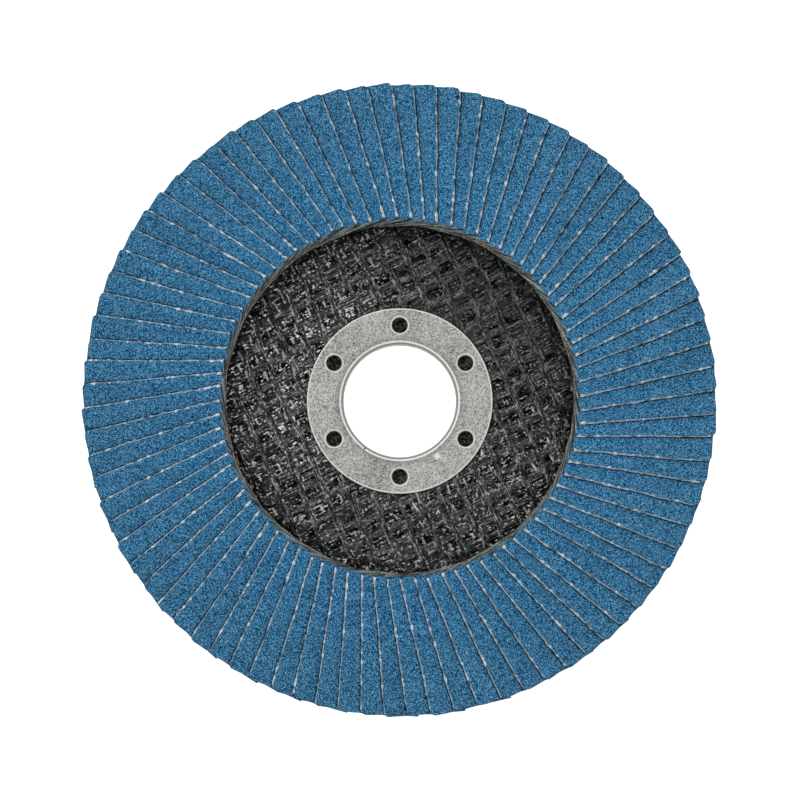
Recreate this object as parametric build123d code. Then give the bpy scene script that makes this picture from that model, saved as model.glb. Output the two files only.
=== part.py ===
from build123d import *
import math
import os

# Flap disc for an angle grinder: a moulded glass-fibre plate with a depressed centre, a pressed steel
# ring in its bore, a bed of adhesive and a fan of overlapping abrasive cloth flaps.
# Frame: the arbor axis is Z, the seat of the grinder's flange is z = 0 and the abrasive side faces +Z.
# All sizes are millimetres and all angles are degrees.

# Overall
disc_diameter = 125.0        # over the flap corners
bore_diameter = 22.23        # fits the locating spigot of the grinder's flange
touch_gap = 0.02             # clearance between pieces that rest on one another

# Abrasive flaps
flap_count = 84
flap_length = 27.6           # along the radius
flap_width = 15.64           # across, seen from above
cloth_thickness = 0.9
stack_clearance = 0.1        # between neighbouring flaps, square to the cloth
flap_panels = 4              # flat panels along a flap, which follow its twist
first_flap_angle = 4.05      # clockwise from +Y to the middle of the first flap
flaps_per_node = 2

# Backing plate
hub_thickness = 2.8
wall_thickness = 2.4         # of the slope and of the rim, whose front is the flaps' seat
dish_rise = 3.0              # front of the hub to the crest under the flaps
dish_run = 4.8               # radial length of the slope between them
crest_setback = 0.4          # crest of the slope, inside the flaps' inner ends
back_bevel = 0.85            # setback of the bevels that ease the bends on the back
rim_overhang = 7.5           # how far the flaps reach past the plate
rim_bevel = 0.4

# Glass mesh moulded into the recess
warp_pitch = 4.15            # ridges of paired warp yarns
warp_width = 1.9
warp_height = 0.5
warp_angle = -66.5           # from +X
weft_pitch = 3.6             # flat weft tapes under the warp
weft_width = 1.75
weft_angle = 26.0            # from +X
window_depth = 0.3           # open windows between the tapes, below the resin's face
window_setback = 0.1         # resin fillet that narrows each window
smallest_window = 0.6        # square millimetres; smaller cut-off windows are full of resin
mesh_margin = 0.25           # bare resin beside the ring
yarn_root = 0.45             # depth to which a ridge is rooted in the plate

# Steel ring
ring_diameter = 36.7
ring_thickness = 0.8
collar_thickness = 0.7
collar_stop = 0.3            # the collar ends this far short of the flange seat
collar_bevel = 0.7           # between flange and bore
ring_bevel = 0.15
anchor_count = 6
anchor_circle_diameter = 30.0
anchor_hole_diameter = 3.0
anchor_wall = 0.55
anchor_depth = 0.9           # how far each tooth bites into the plate
anchor_entry = 0.35          # bevelled entry of each hole
anchor_clearance = 0.1       # around and under each tooth

# Adhesive
adhesive_thickness = 0.35
adhesive_setback = 0.8       # from the plate's rim and from the flaps' inner ends

# Places that follow from the sizes above
half_width = flap_width / 2
disc_radius = disc_diameter / 2
bore_radius = bore_diameter / 2
ring_radius = ring_diameter / 2
plate_radius = disc_radius - rim_overhang
plate_bore_radius = bore_radius + collar_thickness + touch_gap
flap_outer_end = math.sqrt(disc_radius ** 2 - half_width ** 2)
flap_inner_end = flap_outer_end - flap_length
crest_radius = flap_inner_end - crest_setback
crest_height = hub_thickness + dish_rise
foot_radius = crest_radius - dish_run
mesh_start = ring_radius + mesh_margin
ring_seat = hub_thickness + touch_gap
ring_top = ring_seat + ring_thickness
anchor_radius = anchor_hole_diameter / 2 + anchor_wall
flap_pitch = 360 / flap_count


def turned(outline):
    """Body turned about the arbor axis from a closed outline of (radius, height) points."""
    return revolve(Plane.XZ * make_face(Polyline(*outline, close=True)), Axis.Z)


def anchor_places():
    """Places of the anchor holes around the ring, the first one on +Y."""
    return PolarLocations(anchor_circle_diameter / 2, anchor_count, start_angle=90)


def upright_cylinder(radius, bottom, top):
    """Cylinder on the local Z axis between two heights."""
    return Pos(0, 0, (bottom + top) / 2) * Cylinder(radius, top - bottom)


def make_plate_form():
    """Plate without its mesh: flat hub, slope and flat flap seat, eased on the back."""
    half_slope = math.atan2(dish_rise, dish_run) / 2
    back_foot = (foot_radius + hub_thickness * math.tan(half_slope), 0)
    back_crest = (crest_radius + wall_thickness * math.tan(half_slope), crest_height - wall_thickness)
    rim_front = (plate_radius, crest_height)
    rim_back = (plate_radius, crest_height - wall_thickness)
    outline = [(plate_bore_radius, 0), (plate_bore_radius, hub_thickness)]
    outline += [(foot_radius, hub_thickness), (crest_radius, crest_height)]
    outline += [rim_front, rim_back, back_crest, back_foot]
    section = make_face(Polyline(*outline, close=True))
    for place in (back_foot, back_crest):
        section = chamfer(section.vertices().sort_by_distance(Vector(*place))[0], back_bevel)
    for place in (rim_front, rim_back):
        section = chamfer(section.vertices().sort_by_distance(Vector(*place))[0], rim_bevel)
    return revolve(Plane.XZ * section, Axis.Z)


def parallel_strips(pitch, width, angle, shift):
    """Flat strips side by side over the whole recess, moved across by a share of the pitch."""
    rows = math.ceil(flap_inner_end / pitch) + 1
    strip = Rectangle(2 * flap_inner_end, width)
    return [Rot(0, 0, angle) * Pos(0, (row + shift) * pitch) * strip for row in range(-rows, rows)]


def shared_faces(first, second):
    """Flat faces where two flat shapes cover one another."""
    shared = first & second
    return [] if shared is None else shared.faces()


def make_windows():
    """Blocks that sink the open windows between warp ridges and weft tapes into the flat floor."""
    floor = Circle(foot_radius) - Circle(mesh_start)
    between_warps = warp_pitch - warp_width - 2 * window_setback
    between_wefts = weft_pitch - weft_width
    lanes = parallel_strips(warp_pitch, between_warps, warp_angle, 0.5)
    gaps = parallel_strips(weft_pitch, between_wefts, weft_angle, 0.5)
    open_lanes = [face for lane in lanes for face in shared_faces(floor, lane)]
    windows = [face for lane in open_lanes for gap in gaps for face in shared_faces(lane, gap)]
    sunk = [Pos(0, 0, hub_thickness - window_depth) * face for face in windows]
    return [extrude(face, 2 * window_depth) for face in sunk if face.area > smallest_window]


def make_warp_ridges():
    """Ridges of the paired warp yarns, laid over the floor and up the slope to the crest."""
    path = [(mesh_start, hub_thickness), (foot_radius, hub_thickness), (crest_radius, crest_height)]
    outline = [(radius, height + warp_height) for radius, height in path]
    outline += [(radius, height - yarn_root) for radius, height in reversed(path)]
    blanket = turned(outline)
    lanes = parallel_strips(warp_pitch, warp_width, warp_angle, 0)
    return [ridge for lane in lanes for ridge in (blanket & extrude(lane, 2 * crest_height)).solids()]


def make_backing_plate():
    """Moulded plate with its mesh and the pockets that the ring's teeth bite into."""
    plate = make_plate_form()
    plate = plate.cut(*make_windows())
    plate = plate.fuse(*make_warp_ridges())
    pocket_floor = hub_thickness - anchor_depth - anchor_clearance
    pocket = upright_cylinder(anchor_radius + anchor_clearance, pocket_floor, 2 * hub_thickness)
    return plate - anchor_places() * pocket


def make_centre_ring():
    """Flange and collar pressed from one blank, with pierced anchor teeth."""
    outline = [(bore_radius, collar_stop), (bore_radius, ring_top), (ring_radius, ring_top)]
    outline += [(ring_radius, ring_seat), (bore_radius + collar_thickness, ring_seat)]
    outline += [(bore_radius + collar_thickness, collar_stop)]
    section = make_face(Polyline(*outline, close=True))
    for radius, bevel in ((bore_radius, collar_bevel), (ring_radius, ring_bevel)):
        section = chamfer(section.vertices().sort_by_distance(Vector(radius, ring_top))[0], bevel)
    ring = revolve(Plane.XZ * section, Axis.Z)
    ring += anchor_places() * upright_cylinder(anchor_radius, ring_seat - anchor_depth, ring_seat)
    hole_radius = anchor_hole_diameter / 2
    ring -= anchor_places() * upright_cylinder(hole_radius, 0, 2 * ring_top)
    bevel = Cone(hole_radius, hole_radius + anchor_entry, anchor_entry)
    return ring - anchor_places() * (Pos(0, 0, ring_top - anchor_entry / 2) * bevel)


def make_adhesive_bed():
    """Flat ring of cured adhesive between the plate's rim and the flaps."""
    bed = Circle(plate_radius - adhesive_setback) - Circle(flap_inner_end + adhesive_setback)
    return Pos(0, 0, crest_height + touch_gap) * extrude(bed, adhesive_thickness)


def stack_slope():
    """Rise of the fan of flaps for one radian of turn, set where neighbours lie closest."""
    layer = cloth_thickness + stack_clearance
    turn = math.radians(flap_pitch)
    tightest = layer / (turn * flap_inner_end)
    return layer / (turn * math.sqrt(1 - tightest ** 2))


def flap_section(distance):
    """Corners of a flap's section: back at the glued and free edges, then grit at the free and glued."""
    turn = math.atan2(half_width, distance)
    rise = 2 * turn * stack_slope()
    glued_edge = Vector(distance, half_width, crest_height + adhesive_thickness + 2 * touch_gap)
    free_edge = Vector(distance, -half_width, glued_edge.Z + rise)
    through = Vector(0, rise, flap_width).normalized() * cloth_thickness
    return [glued_edge, free_edge, free_edge + through, glued_edge + through]


def folded_facets(a, b, c, d):
    """Two flat facets over the four corners of a twisted panel, folded along a to c."""
    return [Face(Wire.make_polygon(corners)) for corners in ([a, b, c], [a, c, d])]


def make_flap():
    """One flap on +X, twisted in flat panels between its steep inner end and its flatter outer end."""
    distances = [flap_inner_end + flap_length * share / flap_panels for share in range(flap_panels + 1)]
    sections = [flap_section(distance) for distance in distances]
    facets = [Face(Wire.make_polygon(section)) for section in (sections[0], sections[-1])]
    glued, free, free_grit, glued_grit = range(4)
    spans = [(free, glued), (free_grit, glued_grit), (free, free_grit), (glued, glued_grit)]
    for inner, outer in zip(sections, sections[1:]):
        for start, end in spans:
            facets += folded_facets(inner[start], outer[start], outer[end], inner[end])
    return Solid(Shell(facets))


def make_flap_nodes():
    """Flaps placed clockwise around the disc, a few neighbours to a node."""
    flap = make_flap()
    nodes = {}
    for first in range(0, flap_count, flaps_per_node):
        numbers = range(first, min(first + flaps_per_node, flap_count))
        turns = [90 - first_flap_angle - number * flap_pitch for number in numbers]
        name = f"flap_pair_{first // flaps_per_node + 1:02d}"
        nodes[name] = Compound([Rot(0, 0, turn) * flap for turn in turns])
    return nodes


os.makedirs("parts", exist_ok=True)
export_step(make_backing_plate(), "parts/backing_plate.step")
export_step(make_centre_ring(), "parts/centre_ring.step")
export_step(make_adhesive_bed(), "parts/adhesive_bed.step")
for node_name, node_shape in make_flap_nodes().items():
    export_step(node_shape, f"parts/{node_name}.step")
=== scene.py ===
"""Flap disc: abrasive fan, glass mesh plate, steel ring and studio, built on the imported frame.

Sizes in the classes of pieces are millimetres in the frame of the solids: the arbor axis is Z, the seat of
the grinder's flange is z = 0 and the abrasive side faces +Z. Meshes are written in metres.
"""

import logging
import math
from dataclasses import dataclass, field
from enum import Enum
from functools import cached_property, partial, reduce
from typing import Any, Sequence

import bpy
import numpy as np
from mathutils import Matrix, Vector


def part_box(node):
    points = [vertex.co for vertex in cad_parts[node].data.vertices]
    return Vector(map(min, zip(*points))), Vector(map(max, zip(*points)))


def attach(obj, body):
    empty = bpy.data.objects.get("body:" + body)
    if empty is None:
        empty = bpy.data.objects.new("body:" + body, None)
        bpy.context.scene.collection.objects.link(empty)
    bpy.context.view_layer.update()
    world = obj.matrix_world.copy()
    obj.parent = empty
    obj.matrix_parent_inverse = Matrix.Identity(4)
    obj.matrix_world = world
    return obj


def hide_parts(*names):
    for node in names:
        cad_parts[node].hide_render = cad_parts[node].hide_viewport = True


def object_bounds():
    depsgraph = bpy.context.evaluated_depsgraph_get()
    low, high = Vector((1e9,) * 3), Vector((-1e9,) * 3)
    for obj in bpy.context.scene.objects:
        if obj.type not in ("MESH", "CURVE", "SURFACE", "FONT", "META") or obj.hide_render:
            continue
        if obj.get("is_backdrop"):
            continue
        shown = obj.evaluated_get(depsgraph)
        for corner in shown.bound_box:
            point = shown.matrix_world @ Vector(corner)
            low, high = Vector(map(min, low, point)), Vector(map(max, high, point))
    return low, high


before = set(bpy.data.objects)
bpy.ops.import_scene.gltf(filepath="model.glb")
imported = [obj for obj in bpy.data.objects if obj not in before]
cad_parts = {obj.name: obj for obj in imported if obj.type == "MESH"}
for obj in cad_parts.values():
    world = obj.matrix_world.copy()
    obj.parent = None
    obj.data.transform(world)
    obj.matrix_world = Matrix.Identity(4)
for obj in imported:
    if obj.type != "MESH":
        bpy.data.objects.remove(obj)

MM = 0.001
TOP_ROOM = 0.005  # millimetres left free under the top of the solids' box
BODY = "root"
LOG = logging.getLogger("flap_disc")

Array = np.ndarray
Colour = tuple[float, float, float]
Material = bpy.types.Material
Noise = tuple[tuple[float, float, int], ...]
Pair = tuple[float, float]
Socket = bpy.types.NodeSocket
Tree = bpy.types.NodeTree


class Slot(Enum):
    """Material slots of the record."""

    PLATE = "glass_fibre_resin"
    RING = "zinc_steel"
    BED = "cured_adhesive"
    CLOTH = "abrasive_cloth"


def paint(red: int, green: int, blue: int) -> Colour:
    """Linear colour of a screen colour given in 0 to 255."""
    shares = (red / 255, green / 255, blue / 255)
    return tuple(((c + 0.055) / 1.055) ** 2.4 if c > 10 / 255 else c / 12.92 for c in shares)


def ease(values: Array, low: float, high: float) -> Array:
    """Smooth step from 0 at low to 1 at high: t squared times (3 - 2 t) of the clipped share t."""
    share = np.clip((values - low) / (high - low), 0, 1)
    return share * share * (3 - 2 * share)


def bell(values: Array, width: Array | float) -> Array:
    """Bell curve, 1 in its middle: e to the power of minus the square of value over width."""
    return np.exp(-(values / width) ** 2)


def bar(values: Array, drop: float) -> Array:
    """Top of a round bar of radius 1, from 0 down to -1 at its sides and lower by the drop beyond them."""
    return np.sqrt(np.maximum(1 - values ** 2, 0)) - 1 - drop * (np.abs(values) > 1)


def across_line(x: Array, y: Array, degrees: float) -> Array:
    """Distance of points from a line through the axis: y times the cosine less x times the sine."""
    return y * math.cos(math.radians(degrees)) - x * math.sin(math.radians(degrees))


def lattice_noise(x: Array, y: Array, cell: float, seed: int, octaves: int = 1) -> Array:
    """Smooth noise from -1 to 1: random lattice values blended with an eased share between the four corners.

    Args:
        x: First coordinate of each point.
        y: Second coordinate of each point.
        cell: Size of a lattice cell.
        seed: Picks the random lattice.
        octaves: Layers, each half as large and half as strong as the one before.

    Returns:
        Noise of the same shape as the points.
    """
    lattice = np.random.default_rng(seed).uniform(-1, 1, (256, 256))
    total = np.zeros(np.broadcast(x, y).shape)
    strength = 0.0
    for octave in range(octaves):
        scale = 2.0 ** octave
        u = x / cell * scale + 31.7 * octave + 64
        v = y / cell * scale + 11.3 * octave + 64
        column, row = np.floor(u).astype(int), np.floor(v).astype(int)
        share_u, share_v = ease(u - column, 0, 1), ease(v - row, 0, 1)
        left, right = column % 256, (column + 1) % 256
        lower, upper = (lattice[line, left] * (1 - share_u) + lattice[line, right] * share_u
                        for line in (row % 256, (row + 1) % 256))
        total = total + (lower * (1 - share_v) + upper * share_v) / scale
        strength += 1 / scale
    return total / strength


def noise_sum(x: Array, y: Array, layers: Noise) -> Array:
    """Sum of noises, each given by its cell, its strength and its seed."""
    return sum(lattice_noise(x, y, cell, seed) * strength for cell, strength, seed in layers)


def smooth_union(first: Array, second: Array, reach: float) -> Array:
    """Higher of two heights, with the crease filled: the mean plus half of the rounded difference."""
    gap = first - second
    return 0.5 * (first + second + np.sqrt(gap * gap + reach * reach))


def add_object(name: str, data: bpy.types.ID) -> bpy.types.Object:
    """Adds an object to the scene.

    Args:
        name: Name of the object.
        data: Mesh, lamp or camera data that it shows.

    Returns:
        The linked object.
    """
    made = bpy.data.objects.new(name, data)
    bpy.context.scene.collection.objects.link(made)
    return made


def blank_tree(owner: Material | bpy.types.World) -> Tree:
    """Node tree of a material or world, cleared.

    Args:
        owner: The material or world.

    Returns:
        Its node tree.
    """
    owner.use_nodes = True
    owner.node_tree.nodes.clear()
    return owner.node_tree


@dataclass
class Draft:
    """Grids of points gathered into one mesh, with a finish for each face and named values for each point."""

    points: list[Array] = field(default_factory=list)
    quads: list[Array] = field(default_factory=list)
    caps: list[Array] = field(default_factory=list)
    quad_finish: list[Array] = field(default_factory=list)
    cap_finish: list[int] = field(default_factory=list)
    values: dict[str, list[Array]] = field(default_factory=dict)
    count: int = 0

    def add(self, grid: Array, finish: Array | int, values: dict[str, Array | float],
            close_rows: bool = False, cap_finish: int | None = None) -> None:
        """Adds a grid of points as quads, with the last column joined to the first.

        Args:
            grid: Points in millimetres, shaped rows, columns, 3. Columns run clockwise seen along the rows.
            finish: Finish number of every quad, or one number for each column.
            values: Named values, each shaped rows, columns, or one number for all points.
            close_rows: Whether the last row meets the first.
            cap_finish: Finish of flat faces over the first and the last row, or None for no such faces.
        """
        rows, columns = grid.shape[:2]
        index = np.arange(rows * columns).reshape(rows, columns) + self.count
        wide = np.concatenate([index, index[:, :1]], axis=1)
        tall = np.concatenate([wide, wide[:1]], axis=0) if close_rows else wide
        quads = np.stack([tall[:-1, :-1], tall[:-1, 1:], tall[1:, 1:], tall[1:, :-1]], axis=-1)
        self.points.append(grid.reshape(-1, 3))
        self.quads.append(quads.reshape(-1, 4))
        self.quad_finish.append(np.broadcast_to(np.asarray(finish), quads.shape[:2]).reshape(-1))
        if cap_finish is not None:
            self.caps += [index[0][::-1], index[-1]]
            self.cap_finish += [cap_finish, cap_finish]
        for name, numbers in values.items():
            self.values.setdefault(name, []).append(np.broadcast_to(numbers, (rows, columns)).reshape(-1))
        self.count += rows * columns

    def build(self, name: str, finishes: Sequence[Material]) -> bpy.types.Object:
        """Writes the gathered grids to a mesh object.

        Args:
            name: Name of the piece.
            finishes: Materials in the order of the finish numbers.

        Returns:
            The linked object, at the origin, in metres.
        """
        points = np.concatenate(self.points) * MM
        quads = np.concatenate(self.quads)
        corners = np.concatenate([quads.reshape(-1), *self.caps])
        totals = np.concatenate([np.full(len(quads), 4), [len(cap) for cap in self.caps]])
        starts = np.concatenate([[0], np.cumsum(totals)[:-1]])
        finish = np.concatenate([*self.quad_finish, np.array(self.cap_finish, int)])
        mesh = bpy.data.meshes.new(name)
        mesh.vertices.add(len(points))
        mesh.vertices.foreach_set("co", points.astype(np.float32).reshape(-1))
        mesh.loops.add(len(corners))
        mesh.loops.foreach_set("vertex_index", corners.astype(np.int32))
        mesh.polygons.add(len(starts))
        mesh.polygons.foreach_set("loop_start", starts.astype(np.int32))
        mesh.polygons.foreach_set("material_index", finish.astype(np.int32))
        mesh.polygons.foreach_set("use_smooth", np.ones(len(starts), bool))
        mesh.update(calc_edges=True)
        for label, numbers in self.values.items():
            layer = mesh.attributes.new(label, "FLOAT", "POINT")
            layer.data.foreach_set("value", np.concatenate(numbers).astype(np.float32))
        for material in finishes:
            mesh.materials.append(material)
        LOG.info("%s: %d triangles", name, int(np.sum(totals - 2)))
        return add_object(name, mesh)


class Graph:
    """Short way to write shader nodes: each method adds a node and returns the socket that it puts out."""

    SOFT_EDGE = 0.00006

    def __init__(self, tree: Tree) -> None:
        """Keeps the node tree that the nodes go into."""
        self.tree = tree

    def node(self, kind: str, inputs: dict[str | int, Any] | None = None, **settings: Any) -> bpy.types.Node:
        """Adds a node.

        Args:
            kind: Node type, without its ShaderNode prefix.
            inputs: Socket or plain value for each input, by its name or number.
            settings: Properties of the node.

        Returns:
            The node.
        """
        made = self.tree.nodes.new("ShaderNode" + kind)
        for key, setting in settings.items():
            setattr(made, key, setting)
        for key, source in (inputs or {}).items():
            self.feed(made.inputs[key], source)
        return made

    def feed(self, socket: Socket, source: Any) -> None:
        """Links a socket to an input, or sets the input to a plain value.

        Args:
            socket: The input.
            source: Socket or plain value.
        """
        if isinstance(source, bpy.types.NodeSocket):
            self.tree.links.new(source, socket)
        elif socket.type == "RGBA" and len(source) == 3:
            socket.default_value = (*source, 1.0)
        else:
            socket.default_value = source

    def math(self, operation: str, *values: Any) -> Socket:
        """Result of a sum such as SINE, WRAP or MULTIPLY_ADD."""
        return self.node("Math", dict(enumerate(values)), operation=operation).outputs[0]

    def plus(self, *values: Any) -> Socket:
        """Sum of the values."""
        return reduce(partial(self.math, "ADD"), values)

    def minus(self, first: Any, second: Any) -> Socket:
        """First value less the second."""
        return self.math("SUBTRACT", first, second)

    def times(self, *values: Any) -> Socket:
        """Product of the values."""
        return reduce(partial(self.math, "MULTIPLY"), values)

    def larger(self, *values: Any) -> Socket:
        """Largest of the values."""
        return reduce(partial(self.math, "MAXIMUM"), values)

    def span(self, value: Any, low: Any, high: Any, start: Any = 0.0, end: Any = 1.0) -> Socket:
        """Eased change from start, at low, to end, at high."""
        inputs = {"Value": value, "From Min": low, "From Max": high, "To Min": start, "To Max": end}
        return self.node("MapRange", inputs, interpolation_type="SMOOTHSTEP").outputs[0]

    def band(self, value: Any, low: float, high: float) -> Socket:
        """1 between two lengths in metres, with soft edges, and 0 elsewhere.

        Args:
            value: Length at the point.
            low: Where the band starts.
            high: Where it ends.

        Returns:
            The share.
        """
        soft = self.SOFT_EDGE
        start = self.span(value, low - soft, low + soft)
        return self.times(start, self.span(value, high - soft, high + soft, 1.0, 0.0))

    def mix(self, share: Any, first: Any, second: Any, blend: str = "MIX") -> Socket:
        """Colour between two colours.

        Args:
            share: Share of the second colour.
            first: First colour.
            second: Second colour.
            blend: How the second is laid over the first.

        Returns:
            The colour.
        """
        made = self.node("Mix", data_type="RGBA", blend_type=blend)
        for number, source in ((0, share), (6, first), (7, second)):
            self.feed(made.inputs[number], source)
        return made.outputs[2]

    def tinted(self, colour: Any, factor: Socket) -> Socket:
        """Colour made darker or lighter by a factor."""
        grey = self.node("CombineXYZ", {0: factor, 1: factor, 2: factor}).outputs[0]
        return self.mix(1.0, colour, grey, "MULTIPLY")

    def ramp(self, share: Any, stops: Sequence[tuple[float, Colour]]) -> Socket:
        """Colour along a row of stops.

        Args:
            share: Place along the row, from 0 to 1.
            stops: Place and colour of each stop.

        Returns:
            The colour.
        """
        made = self.node("ValToRGB", {0: share})
        marks = made.color_ramp.elements
        while len(marks) < len(stops):
            marks.new(0.5)
        for mark, (place, colour) in zip(marks, stops):
            mark.position = place
            mark.color = (*colour, 1.0)
        return made.outputs[0]

    def attribute(self, name: str) -> Socket:
        """Named value of the mesh's points."""
        return self.node("Attribute", attribute_name=name).outputs["Fac"]

    @cached_property
    def place(self) -> Socket:
        """Object coordinates."""
        return self.node("TexCoord").outputs["Object"]

    @cached_property
    def flat_place(self) -> Socket:
        """Object coordinates with the height left out."""
        return self.node("VectorMath", {0: self.place, 1: (1.0, 1.0, 0.0)}, operation="MULTIPLY").outputs[0]

    @cached_property
    def radius(self) -> Socket:
        """Distance from the arbor axis in metres."""
        return self.node("VectorMath", {0: self.flat_place}, operation="LENGTH").outputs["Value"]

    def spot(self, middle: Pair, size: float) -> Socket:
        """1 at a place seen from above, falling to 0 at a distance of size; both in millimetres.

        Args:
            middle: The place.
            size: The distance.

        Returns:
            The share.
        """
        there = (middle[0] * MM, middle[1] * MM, 0.0)
        gap = self.node("VectorMath", {0: self.flat_place, 1: there}, operation="DISTANCE").outputs["Value"]
        return self.span(gap, 0.35 * size * MM, size * MM, 1.0, 0.0)

    def turned_place(self, degrees: float) -> Socket:
        """Object coordinates whose X axis is turned about Z by an angle."""
        inputs = {"Vector": self.place, "Angle": math.radians(-degrees)}
        return self.node("VectorRotate", inputs, rotation_type="Z_AXIS").outputs[0]

    def bump(self, height: Any, depth: float, strength: float) -> Socket:
        """Normal of a relief of the given depth in metres."""
        return self.node("Bump", {"Height": height, "Distance": depth, "Strength": strength}).outputs[0]


def new_group(name: str, size: float, outputs: Sequence[str]) -> tuple[Graph, Socket, Socket, Any]:
    """Starts a node group that takes a place and the size of its features.

    Args:
        name: Name of the group.
        size: First value of the size, in metres.
        outputs: Names of the values that it puts out.

    Returns:
        The graph of the group, the place, the scale that the size gives and its output node's sockets.
    """
    tree = bpy.data.node_groups.new(name, "ShaderNodeTree")
    tree.interface.new_socket(name="Vector", in_out="INPUT", socket_type="NodeSocketVector")
    tree.interface.new_socket(name="Size", in_out="INPUT", socket_type="NodeSocketFloat").default_value = size
    for label in outputs:
        tree.interface.new_socket(name=label, in_out="OUTPUT", socket_type="NodeSocketFloat")
    graph = Graph(tree)
    given = tree.nodes.new("NodeGroupInput").outputs
    scale = graph.math("DIVIDE", 1.0, given["Size"])
    return graph, given["Vector"], scale, tree.nodes.new("NodeGroupOutput").inputs


class Effects:
    """Shared shader effects, each made once."""

    def __init__(self) -> None:
        """Builds the groups."""
        self.grains = self.make_grains()
        self.patches = self.make_patches()
        self.filaments = self.make_filaments()

    def make_grains(self) -> Tree:
        """Close-packed grains: a random value for each cell, and a height that falls from its middle.

        Returns:
            The group.
        """
        graph, place, scale, result = new_group("close_grains", 0.0002, ("Value", "Height"))
        cells = graph.node("TexVoronoi", {"Vector": place, "Scale": scale}, feature="F1").outputs
        chance = graph.node("SeparateColor", {"Color": cells["Color"]}).outputs
        graph.feed(result["Value"], chance[0])
        height = graph.plus(graph.minus(1.0, cells["Distance"]), graph.times(chance[1], 0.6))
        graph.feed(result["Height"], height)
        return graph.tree

    def make_patches(self) -> Tree:
        """Cloudy patches from 0 to 1, spread to use the whole span.

        Returns:
            The group.
        """
        graph, place, scale, result = new_group("cloudy_patches", 0.005, ("Value",))
        cloud = graph.node("TexNoise", {"Vector": place, "Scale": scale, "Detail": 3.0}).outputs[0]
        graph.feed(result["Value"], graph.span(cloud, 0.28, 0.72))
        return graph.tree

    def make_filaments(self) -> Tree:
        """Fine lines along the vector's X axis, wavy and uneven, as a value from 0 to 1.

        Returns:
            The group.
        """
        graph, place, scale, result = new_group("fine_filaments", 0.0002, ("Value",))
        drawn_out = graph.node("VectorMath", {0: place, 1: (0.07, 1.0, 0.2)}, operation="MULTIPLY").outputs[0]
        lines = graph.node("TexNoise", {"Vector": drawn_out, "Scale": scale, "Detail": 1.0}).outputs[0]
        graph.feed(result["Value"], graph.span(lines, 0.3, 0.7))
        return graph.tree


class Surface(Graph):
    """Graph of one material, with its surface shader and the shared effects."""

    def __init__(self, name: str, effects: Effects) -> None:
        """Starts the material.

        Args:
            name: Name of the finish.
            effects: Shared shader effects.
        """
        self.material = bpy.data.materials.new(name)
        super().__init__(blank_tree(self.material))
        self.effects = effects
        self.shader = self.node("BsdfPrincipled")
        self.node("OutputMaterial", {"Surface": self.shader.outputs[0]})

    def effect(self, tree: Tree, place: Socket, size: float) -> Any:
        """Adds a shared effect.

        Args:
            tree: The effect's group.
            place: Coordinates that it follows.
            size: Size of its features in metres.

        Returns:
            Its output sockets.
        """
        made = self.node("Group", node_tree=tree)
        self.feed(made.inputs["Vector"], place)
        self.feed(made.inputs["Size"], size)
        return made.outputs

    def grains(self, size: float) -> tuple[Socket, Socket]:
        """Random value and height of close-packed grains of a size in metres."""
        made = self.effect(self.effects.grains, self.place, size)
        return made["Value"], made["Height"]

    def patches(self, size: float) -> Socket:
        """Cloudy patches of a size in metres."""
        return self.effect(self.effects.patches, self.place, size)[0]

    def filaments(self, place: Socket, size: float) -> Socket:
        """Fine lines of a width in metres along the X axis of a place."""
        return self.effect(self.effects.filaments, place, size)[0]

    def finish(self, colour: Any, roughness: Any, normal: Socket, specular: float = 0.5,
               metallic: Any = 0.0) -> Material:
        """Feeds the surface shader.

        Args:
            colour: Base colour.
            roughness: Roughness.
            normal: Normal with the relief.
            specular: Level of the plain gloss.
            metallic: Share of bare metal.

        Returns:
            The material.
        """
        values = {"Base Color": colour, "Roughness": roughness, "Normal": normal,
                  "Specular IOR Level": specular, "Metallic": metallic}
        for label, value in values.items():
            self.feed(self.shader.inputs[label], value)
        return self.material


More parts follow.
